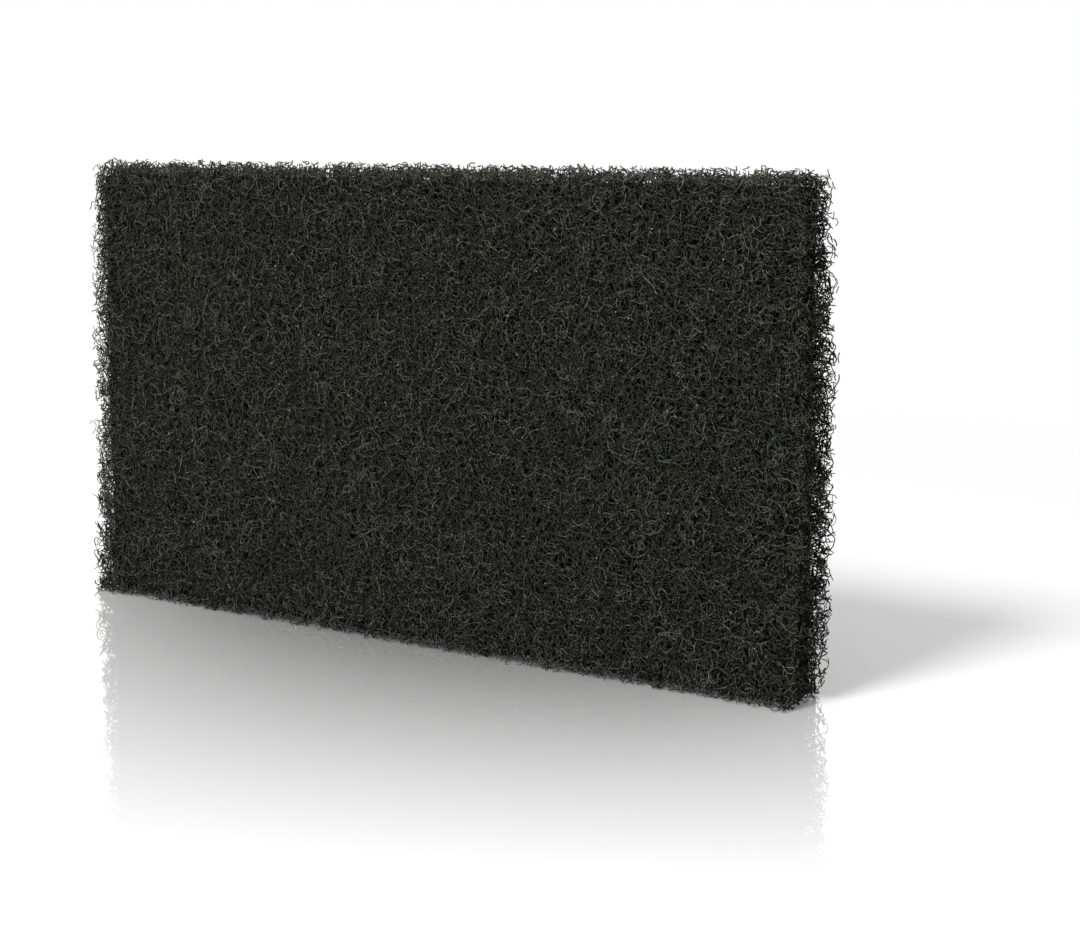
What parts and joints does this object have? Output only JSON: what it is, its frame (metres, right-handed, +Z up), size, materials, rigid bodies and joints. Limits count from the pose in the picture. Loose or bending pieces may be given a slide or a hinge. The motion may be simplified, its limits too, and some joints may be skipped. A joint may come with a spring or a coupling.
{
  "type": "scouring pad",
  "caption": "Rectangular slab of coarse bonded fibre for scouring by hand, with flat faces and fuzzy cut edges, standing on its long edge.",
  "frame": {"origin": "middle of the long narrow side that the pad stands on", "axes": "+X along the pad's length, +Y through its thickness and away from the front face, +Z up its height"},
  "size_m": [0.16, 0.013, 0.09],
  "materials": {
    "fibre_web": "matt charcoal fibre with a dull resin coat"
  },
  "bodies": {
    "root": {"scouring_pad": "fibre_web"}
  },
  "joints": []
}
